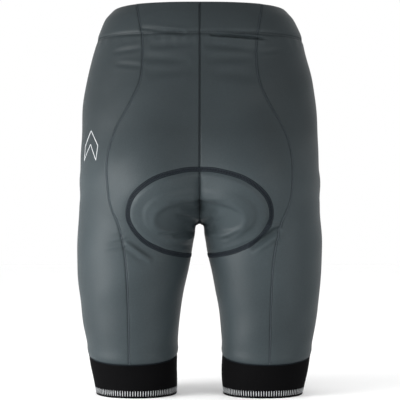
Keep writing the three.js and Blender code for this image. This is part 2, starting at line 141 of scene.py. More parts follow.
def past_body(p):
    x, y, z = p[..., 0], p[..., 1], p[..., 2]
    below = np.maximum(HIP_LEVEL - z, 0)
    half_y = np.where(y > 0, torso_back(z), torso_front(z))
    torso = past_oval(x, y, below, torso_half_width(z), half_y, TORSO_ROUND, TORSO_POWER)
    legs = smooth_union(past_leg(np.abs(x), y, z), past_leg(-np.abs(x), y, z), 6)
    offset = np.stack([np.abs(x), y, z], -1) - SEAT_LOBE_AT
    lobe = past_oval(offset[..., 0], offset[..., 1], offset[..., 2], *SEAT_LOBE_HALF, 2)
    return smooth_union(smooth_union(legs, torso, 24), lobe, 30)


def outward(p, freedom=1.0):
    """The way out of the smooth body, unnormalised. With no freedom it stays level."""
    h = 0.25
    ways = []
    for axis in np.eye(3):
        ways.append((past_body(p + axis * h) - past_body(p - axis * h)) / (2 * h))
    way = np.stack(ways, -1)
    way[..., 2] *= freedom
    return way


def unit(v):
    return v / np.maximum(np.linalg.norm(v, axis=-1, keepdims=True), 1e-9)


MOST_STEP = 6.0  # the longest single move of a point as it settles


def settle(p, freedom=1.0):
    """Moves points onto the body."""
    p = np.array(p, float)
    for _ in range(7):
        way = outward(p, freedom)
        steep = np.maximum((way * way).sum(-1), 0.02)
        step = way * (past_body(p) / steep)[..., None]
        size = np.linalg.norm(step, axis=-1, keepdims=True)
        p -= step * np.minimum(1, MOST_STEP / np.maximum(size, 1e-9))
    return p


# ---- Levels: rows that follow the waist edge above and the leg band below ----
waist_lift = through([(-100, -35), (-60, -25), (0, 0), (50, 4), (95, 5)])
GRIPPER_TILT = -0.15


def height_at(level, y):
    waist = waist_lift(y) * smoothstep(level, HIP_LEVEL, WAIST_LEVEL - BAND_HEIGHT)
    band = smoothstep(level, 0, GRIPPER_LEVEL) * (1 - smoothstep(level, GRIPPER_LEVEL, 130))
    return level + waist + GRIPPER_TILT * y * band


def freedom_at(level):
    """Near the crotch, rows may move up and down as they settle."""
    return smoothstep(level, 185, 215) * (1 - smoothstep(level, HIP_LEVEL, HIP_LEVEL + 30))


def settle_at(guess, level):
    guess = np.array(guess, float)
    level = np.broadcast_to(level, guess.shape[:-1])
    freedom = freedom_at(level)
    first = settle(guess, freedom)
    lift = guess[..., 2] - height_at(level, guess[..., 1])
    second = first.copy()
    second[..., 2] = height_at(level, first[..., 1]) + lift
    second = settle(second, 0.0)
    return np.where((freedom > 0)[..., None], first, second)


def points(x, y, z):
    return np.stack(np.broadcast_arrays(np.asarray(x, float), y, z), -1)


# ---- Seam lines of the left half, by level. `rear` is 1 on the back and -1 on the front ----
def centre_line(level, rear):
    """The rise, from the waist to the crotch, and then the inseam, from there to the hem."""
    level = np.asarray(level, float)
    depth = torso_back(HIP_LEVEL) + 10 if rear > 0 else -torso_front(HIP_LEVEL)
    turn = (HIP_LEVEL - level) / (HIP_LEVEL - CROTCH_LEVEL) * np.pi / 2
    inseam = settle_at(points(leg_inner(level), 0, height_at(level, 0)), level)
    upper = settle_at(points(0, depth, height_at(level, depth)), level)
    under = settle(points(0, depth * np.cos(turn), HIP_LEVEL - (HIP_LEVEL - CROTCH_LEVEL) * np.sin(turn)))
    line = np.where((level >= HIP_LEVEL)[..., None], upper, under)
    return np.where((level < CROTCH_LEVEL)[..., None], inseam, line)


def centre_edge(level, rear, away):
    """The edge of the fabric beside the centre line."""
    level = np.asarray(level, float)
    line = centre_line(level, rear)
    x, y, z = line[..., 0], line[..., 1], line[..., 2]
    on_leg = settle_at(points(x, rear * away, z), level)
    clear = rear * np.maximum(rear * y, away)
    on_rise = settle_at(points(away, clear, z), level)
    return np.where((level < CROTCH_LEVEL)[..., None], on_leg, on_rise)


back_seam_x = through([
    (46, 92), (120, 93), (180, 96), (224, 104), (256, 116), (290, 120), (320, 118.5),
    (350, 110), (385, 90), (415, 76.5), (450, 73), (480, 75), (516, 82),
])
front_seam_x = through([(46, 90), (130, 93), (224, 106), (300, 116), (370, 104), (440, 88), (516, 88)])


def side_seam(level, rear, sideways=0.0):
    """The seam between the side panel and the back or front panel, moved sideways to the front."""
    level = np.asarray(level, float)
    seam_x = back_seam_x if rear > 0 else front_seam_x

    def seam_at(at):
        y = np.full_like(at, rear * 78.0)
        z = height_at(at, y)
        x = seam_x(z)
        for _ in range(12):
            found = points(x, y, z)
            y = y - np.clip(past_body(found) / outward(found, 0.0)[..., 1], -12, 12)
            z = height_at(at, y)
        return points(x, y, z)

    here = seam_at(level)
    down = seam_at(level - 2) - seam_at(level + 2)
    across = unit(np.cross(down, outward(here)))
    return settle_at(here + across * sideways, level)


# ---- Relief: how far the fabric stands off the smooth body ----
# Soft creases on the back, as (from x, from z, to x, to z, width, depth). A negative depth is a ridge.
BACK_CREASES = [
    (52, 218, 27, 214, 2.4, 3.0),  # under the left lobe of the pad
    (33, 214.5, 4, 217, 2.6, 4.4),
    (44, 208, 12, 205, 3.0, -1.7),
    (-10, 211, -36, 211.5, 2.6, 1.3),  # under the right lobe of the pad
    (-33, 211, -53, 221, 2.4, 1.6),
    (36, 258.5, 2, 257, 2.6, 1.7),  # above the lobes
    (-6, 258, -40, 259, 2.4, 0.8),
    (28, 239, 4, 230, 3.4, 2.0),  # gathers that run to the crotch
    (22, 247, 3, 240, 3.2, 1.5),
    (-4, 226, -15, 234, 2.8, 1.8),
    (-4, 232, -20, 243, 3.0, 1.0),
    (-69, 200, -102, 223, 3.8, 5.6),  # the fold from the right seam to the ring
    (-90, 228, -108, 226, 2.6, -1.6),
    (64, 182, 96, 205, 3.0, -3.4),  # the bright edge below the ring, on the left
    (94, 208, 118, 202, 2.2, 1.5),  # puckers across the left seam
    (95, 199, 119, 194, 2.2, 1.3),
    (97, 216, 111, 214, 2.0, 1.0),
    (-92, 206, -110, 205, 2.2, 0.8),
    (-15, 473.5, -84, 469.5, 1.6, 3.4),  # under the waistband
    (76, 483, 20, 476, 2.6, 1.6),
    (-8, 461, -72, 455, 4.0, 1.5),
    (60, 460, 8, 463, 4.0, 1.2),
    (110, 453, 76, 457, 2.8, 1.1),
    (106, 437, 72, 433, 2.8, 1.0),
    (-80, 452, -106, 456, 2.8, 0.8),
    (-12, 441, -66, 446, 5.0, 1.2),
    (72, 444, 16, 440, 5.0, 1.3),
    (64, 424, 10, 430, 6.0, 1.0),
    (-20, 424, -70, 420, 6.0, 0.9),
]
# The same for the front.
FRONT_CREASES = [
    (4, 262, 46, 284, 5.0, 1.3),
    (-4, 258, -50, 276, 5.0, 1.4),
    (6, 242, 60, 252, 4.5, 1.4),
    (-8, 244, -64, 258, 4.5, 1.2),
    (10, 430, 58, 434, 4.5, 0.8),
    (-6, 428, -60, 424, 4.5, 0.9),
    (-14, 414, -70, 418, 6.0, 0.6),
    (16, 412, 66, 408, 6.0, 0.6),
]


def crease_relief(x, z, creases):
    total = np.zeros_like(x)
    for from_x, from_z, to_x, to_z, width, depth in creases:
        run_x, run_z = to_x - from_x, to_z - from_z
        share = ((x - from_x) * run_x + (z - from_z) * run_z) / (run_x**2 + run_z**2)
        held = np.clip(share, 0, 1)
        away = np.hypot(x - from_x - held * run_x, z - from_z - held * run_z)
        fade = np.sin(np.pi * np.clip(share * 0.8 + 0.1, 0, 1)) ** 0.7
        total -= depth * fade * (bump(away, width) - 0.45 * bump(away - 1.9 * width, width))
    return total


def oval_inset(x, z, middle_z, half_width, half_height, power=2.0):
    """Roughly how far inside an upright oval a point is. Negative outside."""
    dx, dz = np.abs(x) / half_width, np.abs(z - middle_z) / half_height
    size = np.maximum(dx**power + dz**power, 1e-6) ** (1 / power)
    slope = np.hypot(dx ** (power - 1) / half_width, dz ** (power - 1) / half_height) / size ** (power - 1)
    return (1 - size) / np.maximum(slope, 1e-3)


def pad_inset(p):
    half_width = PAD_FRONT_HALF + (PAD_BACK_HALF - PAD_FRONT_HALF) * smoothstep(p[..., 1], -18, 18)
    return oval_inset(p[..., 0], p[..., 2], PAD_MIDDLE, half_width, PAD_HALF_HEIGHT)


LOBE_MIDDLE, LOBE_HALF_WIDTH, LOBE_HALF_HEIGHT = 236.5, 59.5, 22.5


def pad_relief(p, way):
    """The pad behind the fabric: a raised oval, a step inside it, and two lobes that slope to a cleft."""
    x, z = p[..., 0], p[..., 2]
    back, front = smoothstep(way[..., 1], 0.1, 0.5), smoothstep(-way[..., 1], 0.1, 0.5)
    inset = pad_inset(p)
    swell = 2.2 * smoothstep(inset, 1, 8) - 0.8 * bump(inset, 4.5)
    middle = 1.7 * smoothstep(oval_inset(x, z, 241, 72, 33, 2.4), -2, 4)
    lobes = oval_inset(x, z, LOBE_MIDDLE, LOBE_HALF_WIDTH, LOBE_HALF_HEIGHT, 2.4)
    rim = 1.5 * bump(lobes - 0.5, 4.5)
    slope = np.clip(1 - np.abs(x) / LOBE_HALF_WIDTH, 0, 1)
    hollow = -11.0 * slope * smoothstep(lobes, -5, 7)
    cleft = -2.8 * bump(x, 4.5) * smoothstep(inset, 4, 20)
    valley = -2.0 * bump(x, 26) * smoothstep(z, 300, 268)
    angle = np.arctan2(z - 229, x)
    reach = np.hypot(x, z - 229)
    gathers = 0.5 * np.cos(angle * 9 + 0.8) * bump(reach - 18, 14) * smoothstep(reach, 5, 14)
    sculpted = middle + rim + hollow + cleft + valley + gathers
    return back * (swell + sculpted) + front * (swell + gathers)


def band_relief(p):
    """The waistband bulges a little above its row of stitches, which pull the fabric in."""
    x, y, z = p[..., 0], p[..., 1], p[..., 2]
    above = z - height_at(np.full_like(z, WAIST_LEVEL - BAND_HEIGHT), y)
    drawn = -1.3 * bump(above, 2.4)
    swell = 0.8 * smoothstep(above, 0, 7) * (1 - smoothstep(above, BAND_HEIGHT - 14, BAND_HEIGHT - 2))
    ripple = 0.25 * np.sin(np.arctan2(y, x) * 46) * bump(above + 6, 6)
    return drawn + swell + ripple


def gripper_relief(p):
    """The leg swells a little above the elastic band, which holds it in."""
    above = p[..., 2] - height_at(np.full(p.shape[:-1], GRIPPER_LEVEL), p[..., 1])
    return 0.9 * bump(above - 7, 6) - 0.5 * bump(above, 2.5)


def body_waves(p):
    """Broad, faint unevenness of stretched fabric."""
    x, y, z = p[..., 0], p[..., 1], p[..., 2]
    broad = np.sin(x * 0.045 + z * 0.031 + 1.0) * np.sin(z * 0.052 - y * 0.037)
    fine = np.sin(z * 0.11 + x * 0.06 + y * 0.05)
    return 0.55 * broad + 0.3 * fine


CROTCH_TUCK = 4.4  # how far the gusset is drawn up between the legs
HIP_SWELL = 1.8


def relief(p, way):
    x, y, z = p[..., 0], p[..., 1], p[..., 2]
    back, front = smoothstep(y, 0, 30), smoothstep(-y, 0, 30)
    total = pad_relief(p, way) + band_relief(p) + gripper_relief(p) + body_waves(p)
    total += back * crease_relief(x, z, BACK_CREASES)
    total += front * crease_relief(x, z, FRONT_CREASES)
    between_legs = bump(x, 8) * smoothstep(z, 242, 232)
    crotch = -CROTCH_TUCK * bump(x, 7) * bump(z - CROTCH_LEVEL + 4, 9)
    hips = HIP_SWELL * bump(z - 275, 22) * smoothstep(np.abs(x), 120, 150)
    return total * (1 - between_legs) + crotch + hips


def fabric_way(p, freedom=1.0):
    """The way that the relief moves the fabric. Beside the rise seam it stays clear of the other half."""
    way = outward(p, freedom)
    by_rise = bump(p[..., 0], 15) * smoothstep(p[..., 2], 222, 234) * smoothstep(np.abs(p[..., 1]), 8, 26)
    way[..., 0] *= 1 - by_rise
    return unit(way)


def on_fabric(p, lift=0.0):
    """Points of the smooth body, moved out to the uneven fabric and a lift beyond it."""
    way = fabric_way(p)
    return p + way * (relief(p, way) + lift)[..., None]


# ---- Mesh building ----
def grid_faces(rows, columns, closed=False):
    across = columns if closed else columns - 1
    i, j = np.meshgrid(np.arange(rows - 1), np.arange(across), indexing="ij")
    after = (j + 1) % columns
    here, below = i * columns, (i + 1) * columns
    quads = np.stack([here + j, here + after, below + after, below + j], -1)
    return quads.reshape(-1, 4).tolist()


def add_mesh(name, verts, faces, uv=None):
    mesh = bpy.data.meshes.new(name)
    mesh.from_pydata((np.asarray(verts).reshape(-1, 3) / 1000).tolist(), [], faces)
    mesh.validate()
    mesh.shade_smooth()
    if uv is not None:
        layer = mesh.uv_layers.new(name="cloth")
        corner = np.zeros(len(mesh.loops), int)
        mesh.loops.foreach_get("vertex_index", corner)
        layer.data.foreach_set("uv", uv.reshape(-1, 2)[corner].ravel())
    piece = bpy.data.objects.new(name, mesh)
    bpy.context.scene.collection.objects.link(piece)
    return piece


def thicken(piece, thickness):
    solid = piece.modifiers.new("thickness", "SOLIDIFY")
    solid.thickness = thickness / 1000
    solid.offset = -1


def mirrored(p):
    return p * np.array([-1.0, 1.0, 1.0])


def bars(start, end, up, radius, sides=6, flat=1.0):
    """Rounded stitches from start to end, bowed up off the surface. A small `flat` makes them flat."""
    along = end - start
    side = unit(np.cross(up, along))
    top = unit(np.cross(along, side))
    stations = [(0.0, 0.35, -0.7), (0.16, 0.85, 0.1), (0.5, 1.0, 0.5), (0.84, 0.85, 0.1), (1.0, 0.35, -0.7)]
    turn = 2 * np.pi * np.arange(sides) / sides
    rings = []
    for share, size, lift in stations:
        middle = start + along * share + top * (radius * lift * flat)
        ring = (
            middle[:, None]
            + side[:, None] * (radius * size * np.cos(turn))[None, :, None]
            + top[:, None] * (flat * radius * size * np.sin(turn))[None, :, None]
        )
        rings.append(ring)
    verts = np.stack(rings, 1)
    faces = []
    one = grid_faces(len(stations), sides, closed=True)
    last = (len(stations) - 1) * sides
    one.append(list(range(sides - 1, -1, -1)))
    one.append([last + k for k in range(sides)])
    per_bar = len(stations) * sides
    for k in range(len(start)):
        faces.extend([[v + k * per_bar for v in face] for face in one])
    return verts.reshape(-1, 3), faces


DOME_SIDES = 8


def domes(base, up, radius, height):
    """Low round dots standing on a surface."""
    side = unit(np.cross(up, np.array([0.0, 0.0, 1.0])))
    other = np.cross(up, side)
    turn = 2 * np.pi * np.arange(DOME_SIDES) / DOME_SIDES
    rings = []
    for size, lift in ((1.0, 0.0), (0.85, 0.6), (0.45, 0.95)):
        ring = (
            (base + up * (height * lift))[:, None]
            + side[:, None] * (radius * size * np.cos(turn))[None, :, None]
            + other[:, None] * (radius * size * np.sin(turn))[None, :, None]
        )
        rings.append(ring)
    verts = np.stack(rings, 1)
    one = grid_faces(3, DOME_SIDES, closed=True)
    one.append(list(range(DOME_SIDES - 1, -1, -1)))
    one.append([2 * DOME_SIDES + k for k in range(DOME_SIDES)])
    faces = [[v + k * 3 * DOME_SIDES for v in face] for k in range(len(base)) for face in one]
    return verts.reshape(-1, 3), faces


def join_parts(name, parts):
    """One mesh from several (points, faces)."""
    verts, faces, count = [], [], 0
    for part_verts, part_faces in parts:
        part_verts = np.asarray(part_verts).reshape(-1, 3)
        faces.extend([[v + count for v in face] for face in part_faces])
        verts.append(part_verts)
        count += len(part_verts)
    return add_mesh(name, np.concatenate(verts), faces)


def resample(line, count, closed=False):
    """Points at even spacing along a line of points."""
    line = np.concatenate([line, line[:1]]) if closed else line
    step = np.linalg.norm(np.diff(line, axis=0), axis=1)
    at = np.concatenate([[0], np.cumsum(step)])
    wanted = np.linspace(0, at[-1], count, endpoint=not closed)
    return np.stack([np.interp(wanted, at, line[:, k]) for k in range(3)], -1)


def length_of(line):
    return float(np.linalg.norm(np.diff(line, axis=0), axis=1).sum())


def strip(left, right, heights, closed=False):
    """A raised strip between two edge lines on the body, with a height for each point across it."""
    shares = np.linspace(0, 1, len(heights))
    middle = left[:, None] + (right - left)[:, None] * shares[None, :, None]
    flat = settle(middle)
    top = on_fabric(flat, np.broadcast_to(np.array(heights, float), flat.shape[:-1]))
    columns = len(heights)
    rows = len(left)
    verts = top.reshape(-1, 3)
    if closed:
        faces = grid_faces(columns, rows, closed=True)
        verts = top.transpose(1, 0, 2).reshape(-1, 3)
    else:
        faces = grid_faces(rows, columns)
    return verts, faces


SEAM_PROFILE = (-0.6, 0.1, 0.16, 0.0, 0.16, 0.1, -0.6)  # two rolled edges side by side
RISE_PROFILE = (-0.6, 0.1, 0.14, -0.7, 0.14, 0.1, -0.6)  # the same with a deep groove between them
RING_PROFILE = (-0.9, 0.25, 0.5, 0.2, 0.3, 0.3, 0.2, 0.5, 0.25, -0.9)  # a flat tape with raised edges


def flatlock(name, left, right, pitch=1.7, radius=0.17, closed=False, margin=0.14, profile=SEAM_PROFILE):
    """A flatlock seam as two pieces: its tape, and its threads across it and along its edges."""
    count = max(int(length_of(left) / pitch), 4)
    left, right = resample(left, count, closed), resample(right, count, closed)
    tape = join_parts(name, [strip(left, right, profile, closed)])
    edges = left + (right - left) * margin, right + (left - right) * margin
    after = [np.roll(edge, -1, axis=0) for edge in edges]
    runs = [(edges[0], after[1]), (edges[0], after[0]), (edges[1], after[1])]
    height = max(profile[len(profile) // 4 : -(len(profile) // 4)])
    threads = []
    for start, end in runs:
        if not closed:
            start, end = start[:-1], end[:-1]
        start, end = settle(start), settle(end)
        threads.append(bars(on_fabric(start, height), on_fabric(end, height), unit(outward(start)), radius))
    return tape, join_parts(f"{name}_threads", threads)


# ---- Fabric panels ----
def levels_between(high, low, step=MESH_STEP):
    return np.linspace(high, low, int(abs(high - low) / step) + 1)


FOLD_STEPS = 8
fold_turn = np.linspace(np.pi, 0, FOLD_STEPS + 1)
fold_half = FOLD_DEPTH / 2
fold_levels = WAIST_LEVEL - fold_half + fold_half * np.sin(fold_turn)
fold_depths = fold_half - fold_half * np.cos(fold_turn)
facing_levels = levels_between(WAIST_LEVEL - BAND_HEIGHT + 2, WAIST_LEVEL - fold_half - MESH_STEP)
outer_levels = np.concatenate([
    levels_between(WAIST_LEVEL - fold_half - MESH_STEP, WAIST_LEVEL - BAND_HEIGHT + 8)[:-1],
    levels_between(WAIST_LEVEL - BAND_HEIGHT + 8, WAIST_LEVEL - BAND_HEIGHT - 9, 0.8)[:-1],
    levels_between(WAIST_LEVEL - BAND_HEIGHT - 9, HIP_LEVEL)[:-1],
    levels_between(HIP_LEVEL, CROTCH_LEVEL, MESH_STEP * 0.6)[:-1],
    levels_between(CROTCH_LEVEL, GRIPPER_LEVEL + SEAM_HALF - 0.6),
])
panel_levels = np.concatenate([facing_levels, fold_levels, outer_levels])
panel_depths = np.concatenate([
    np.full(len(facing_levels), float(FOLD_DEPTH)), fold_depths, np.zeros(len(outer_levels)),
])


def polar_about_leg(p, whole):
    angle = np.arctan2(p[..., 1], LEG_AXIS - p[..., 0])
    angle = np.where(angle < whole, angle + 2 * np.pi, angle)
    return angle, np.hypot(p[..., 1], LEG_AXIS - p[..., 0])


def base_grid(from_edge, to_edge, levels, columns):
    """Points on the smooth body, row by row, between two edge lines."""
    level = levels[:, None]
    shares = np.linspace(0, 1, columns)[None, :]
    from_angle, from_radius = polar_about_leg(from_edge, -0.5)
    to_angle, to_radius = polar_about_leg(to_edge, from_angle)
    angle = from_angle[:, None] + (to_angle - from_angle)[:, None] * shares
    radius = from_radius[:, None] + (to_radius - from_radius)[:, None] * shares
    y = radius * np.sin(angle)
    from_lift = from_edge[:, 2] - height_at(levels, from_edge[:, 1])
    to_lift = to_edge[:, 2] - height_at(levels, to_edge[:, 1])
    lift = from_lift[:, None] + (to_lift - from_lift)[:, None] * shares
    guess = points(LEG_AXIS - radius * np.cos(angle), y, height_at(level, y) + lift)
    grid = settle_at(guess, np.broadcast_to(level, y.shape))
    grid[:, 0], grid[:, -1] = from_edge, to_edge
    return grid


def cloth_uv(grid):
    """Distances along the rows and down the columns, in centimetres, for the weave."""
    across = np.linalg.norm(np.diff(grid, axis=1), axis=2).mean(0)
    u = np.concatenate([[0], np.cumsum(across)])
    down = np.linalg.norm(np.diff(grid, axis=0), axis=2).mean(1)
    v = np.concatenate([[0], np.cumsum(down)])
    return np.stack(np.broadcast_arrays(u[None, :], v[:, None]), -1) / 10


def fabric_panel(name, grid, levels, depths, thickness=FABRIC):
    """A fabric panel from its grid on the smooth body. Its edges roll in towards the seams."""
    rows, columns = grid.shape[:2]
    way = fabric_way(grid, freedom_at(levels)[:, None])
    step = MESH_STEP * np.arange(columns)
    from_edge = np.minimum(step, step[::-1])[None, :]
    lift = relief(grid, fabric_way(grid)) - 0.15 * bump(from_edge, 1.6)
    depth = depths[:, None]
    shaped = grid + way * (lift - depth)[..., None]
    piece = add_mesh(name, shaped, grid_faces(rows, columns), cloth_uv(grid))
    thicken(piece, thickness)
    return piece, shaped


def columns_for(from_edge, to_edge):
    width = np.linalg.norm(to_edge - from_edge, axis=1).max() * 1.15
    return int(width / MESH_STEP) + 2


PANEL_EDGE = 0.6  # from a seam line to the edge of the fabric, under the flatlock
edge_lines = {
    "back": (
        centre_edge(panel_levels, 1, PANEL_EDGE),
        side_seam(panel_levels, 1, -PANEL_EDGE),
    ),
    "side": (
        side_seam(panel_levels, 1, PANEL_EDGE),
        side_seam(panel_levels, -1, -PANEL_EDGE),
    ),
    "front": (
        side_seam(panel_levels, -1, PANEL_EDGE),
        centre_edge(panel_levels, -1, PANEL_EDGE),
    ),
}
made = {}
worn_grids = {}
for place, (from_edge, to_edge) in edge_lines.items():
    wide = 84 if place == "side" else columns_for(from_edge, to_edge)
    grid = base_grid(from_edge, to_edge, panel_levels, wide)
    for side, turned in (("left", grid), ("right", mirrored(grid)[:, ::-1])):
        name = f"{place}_panel_{side}"
        cloth_name = f"{place}_fabric_{side}"
        made[name], worn_grids[name] = fabric_panel(cloth_name, turned, panel_levels, panel_depths)
        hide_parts(name)

# ---- Seams ----
def add_flatlock(node, name, left, right, **how):
    made[node], made[f"{node}_threads"] = flatlock(name, left, right, **how)
    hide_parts(node)


seam_levels = levels_between(WAIST_LEVEL - 0.5, GRIPPER_LEVEL + SEAM_HALF)
for rear, place in ((1, "back"), (-1, "front")):
    left, right = side_seam(seam_levels, rear, -SEAM_HALF), side_seam(seam_levels, rear, SEAM_HALF)
    for side, flip in (("left", lambda p: p), ("right", mirrored)):
        add_flatlock(f"{place}_side_seam_{side}", f"{place}_side_flatlock_{side}", flip(left), flip(right))

rise_levels = levels_between(WAIST_LEVEL - 0.5, CROTCH_LEVEL)
rise_line = np.concatenate([centre_line(rise_levels, 1), centre_line(rise_levels[::-1][1:], -1)])
rise_levels_all = np.concatenate([rise_levels, rise_levels[::-1][1:]])
rise_left, rise_right = rise_line.copy(), rise_line.copy()
rise_left[:, 0], rise_right[:, 0] = SEAM_HALF, -SEAM_HALF
rise_left, rise_right = settle_at(rise_left, rise_levels_all), settle_at(rise_right, rise_levels_all)
add_flatlock("rise_seam", "rise_flatlock", rise_left, rise_right, profile=RISE_PROFILE)

inseam_levels = levels_between(CROTCH_LEVEL - 4, GRIPPER_LEVEL + SEAM_HALF)
closure_levels = levels_between(GRIPPER_LEVEL - SEAM_HALF, 0.8)
for piece_name, node, levels in (
    ("inseam_flatlock", "inseam", inseam_levels),
    ("gripper_closure", "gripper_closure_seam", closure_levels),
):
    front_edge, back_edge = centre_edge(levels, -1, SEAM_HALF), centre_edge(levels, 1, SEAM_HALF)
    for side, flip in (("left", lambda p: p), ("right", mirrored)):
        add_flatlock(f"{node}_{side}", f"{piece_name}_{side}", flip(front_edge), flip(back_edge))

# ---- Leg bands ----
def leg_loop(level, count=150):
    turn = 2 * np.pi * np.arange(count) / count
    y = 57 * np.sin(turn)
    guess = points(LEG_AXIS - 55 * np.cos(turn), y, height_at(np.full(count, float(level)), y))
    return settle_at(guess, level)


HEM_ROUND = 0.8
band_levels = np.concatenate([
    levels_between(GRIPPER_LEVEL - SEAM_HALF + 0.5, HEM_ROUND, 1.7), [0.25, 0.0],
])
band_depths = np.concatenate([np.zeros(len(band_levels) - 2), [0.2, HEM_ROUND]])
band_from, band_to = centre_edge(band_levels, 1, PANEL_EDGE), centre_edge(band_levels, -1, PANEL_EDGE)
band_grid = base_grid(band_from, band_to, band_levels, 168)
for side, turned in (("left", band_grid), ("right", mirrored(band_grid)[:, ::-1])):
    name = f"leg_gripper_{side}"
    made[name], worn_grids[name] = fabric_panel(
        f"leg_band_{side}", turned, band_levels, band_depths, BAND_FABRIC,
    )
    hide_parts(name)

band_top = leg_loop(GRIPPER_LEVEL + SEAM_HALF), leg_loop(GRIPPER_LEVEL - SEAM_HALF)
DASH_PITCH = 3.45
DASH_TOP = 10.8
DASH_FOOT = 2.6
DASH_LIFT = 0.12
DASH_RADIUS = 0.52
dash_count = int(length_of(leg_loop(7.5)) / DASH_PITCH)
dash_ends = leg_loop(DASH_TOP, dash_count), leg_loop(DASH_FOOT, dash_count)
DOT_LEVELS = (12, 17.5, 23, 28.5, 34)
DOT_RADIUS = 1.7
DOT_HEIGHT = 0.7
for side, flip in (("left", lambda p: p), ("right", mirrored)):
    band_edges = flip(band_top[0]), flip(band_top[1])
    add_flatlock(f"gripper_seam_{side}", f"gripper_flatlock_{side}", *band_edges, closed=True)

    top, foot = flip(dash_ends[0]), flip(dash_ends[1])
    ends = on_fabric(top, DASH_LIFT), on_fabric(foot, DASH_LIFT)
    dashes = bars(*ends, unit(outward(top)), DASH_RADIUS, sides=8, flat=0.35)
    made[f"reflective_trim_{side}"] = join_parts(f"reflective_dashes_{side}", [dashes])
    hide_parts(f"reflective_trim_{side}")

    dots = []
    for k, level in enumerate(DOT_LEVELS):
        ring = flip(leg_loop(level, 128))[k % 2 :: 2]
        into = -unit(outward(ring))
        dots.append(domes(on_fabric(ring, -BAND_FABRIC), into, DOT_RADIUS, DOT_HEIGHT))
    made[f"silicone_print_{side}"] = join_parts(f"silicone_dots_{side}", dots)
    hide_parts(f"silicone_print_{side}")

# ---- Waistband stitches ----
def waist_loop(level, count):
    turn = 2 * np.pi * np.arange(count) / count
    y = 93 * np.sin(turn)
    guess = points(130 * np.cos(turn), y, height_at(np.full(count, float(level)), y))
    return settle_at(guess, level)


STITCH_PITCH = 3.0
STITCH_LIFT = 0.15
STITCH_RADIUS = 0.36
stitch_rows = []
for level in (WAIST_LEVEL - BAND_HEIGHT + 1.5, WAIST_LEVEL - BAND_HEIGHT - 1.5):
    count = int(length_of(waist_loop(level, 300)) / STITCH_PITCH)
    line = resample(waist_loop(level, 600), count * 4, closed=True)
    start, end = line[::4], line[3::4]
    ends = on_fabric(start, STITCH_LIFT), on_fabric(end, STITCH_LIFT)
    stitch_rows.append(bars(*ends, unit(outward(start)), STITCH_RADIUS))
made["waist_coverstitch"] = join_parts("waist_stitches", stitch_rows)
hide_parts("waist_coverstitch")


# ---- Ring of stitches round the pad ----
def outline_point(turn, rear):
    half_width = PAD_BACK_HALF if rear > 0 else PAD_FRONT_HALF
    turn = np.asarray(turn, float)
    x, z = half_width * np.cos(turn), PAD_MIDDLE + PAD_HALF_HEIGHT * np.sin(turn)
    y = np.full_like(x, rear * 80.0)
    for _ in range(14):
        found = points(x, y, z)
        y = y - np.clip(past_body(found) / outward(found)[..., 1], -10, 10)
    return points(x, y, z)


def smooth_loop(corners, count):
    """A smooth closed line through the corners."""
    wrapped = np.concatenate([corners[-2:], corners, corners[:3]])
    step = np.linalg.norm(np.diff(wrapped, axis=0), axis=1)
    at = np.concatenate([[0], np.cumsum(step)])
    wanted = np.linspace(at[2], at[2 + len(corners)], count, endpoint=False)
    return np.stack([through(list(zip(at, wrapped[:, k])))(wanted) for k in range(3)], -1)


half_turns = np.array([0.5, 0.42, 0.28, 0.12, -0.04, -0.2, -0.32, -0.4]) * np.pi
inner_thigh = settle(points(leg_inner(PAD_BOTTOM), 0, PAD_BOTTOM)[None])
left_outline = np.concatenate([
    outline_point(half_turns, 1), inner_thigh, outline_point(half_turns[::-1], -1),
])
right_outline = mirrored(left_outline[1:-1])[::-1]
pad_line = settle(smooth_loop(np.concatenate([left_outline, right_outline]), 420))


def beside(line, away):
    """A closed line moved sideways over the body."""
    along = np.roll(line, -1, axis=0) - np.roll(line, 1, axis=0)
    across = unit(np.cross(along, outward(line)))
    return settle(line + across * away)


add_flatlock(
    "pad_flatlock_stitch", "pad_ring_flatlock", beside(pad_line, -RING_HALF), beside(pad_line, RING_HALF),
    pitch=2.0, radius=0.3, closed=True, margin=0.25, profile=RING_PROFILE,
)

# ---- Print on the left hip ----
MARK_ANGLE = 0.53
MARK_Z = 329
MARK_LINE_HALF = 0.75
mark_corners = [(-19.5, 2.5), (0, 22.5), (19.5, 2.5), (19.5, -16.5), (0, 4.5), (-19.5, -16.5)]
mark_guess = []
for k, (across, up) in enumerate(mark_corners):
    after_across, after_up = mark_corners[(k + 1) % len(mark_corners)]
    for share in np.linspace(0, 1, 12, endpoint=False):
        angle = MARK_ANGLE + (across + (after_across - across) * share) / 150
        z = MARK_Z + up + (after_up - up) * share
        mark_guess.append((165 * math.cos(angle), 112 * math.sin(angle), z))
mark_line = settle(np.array(mark_guess), 0.0)
mark_edges = beside(mark_line, -MARK_LINE_HALF), beside(mark_line, MARK_LINE_HALF)
MARK_PROFILE = (-0.2, 0.14, 0.18, 0.14, -0.2)
made["hip_mark_left"] = join_parts("hip_mark", [strip(*mark_edges, MARK_PROFILE, closed=True)])
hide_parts("hip_mark_left")

# ---- Seat pad, inside the fabric ----
PAD_BACKING_DEPTH = FABRIC + 0.5
PAD_DEPTH = PAD_BACKING_DEPTH + 1.1
PAD_ROWS = 72
PAD_COLUMNS = 45
PAD_TOP_TURN = 0.42 * np.pi
PAD_LOW_TURN = -0.4 * np.pi
VOXEL = 0.0042
MOST_SWELL = 0.003


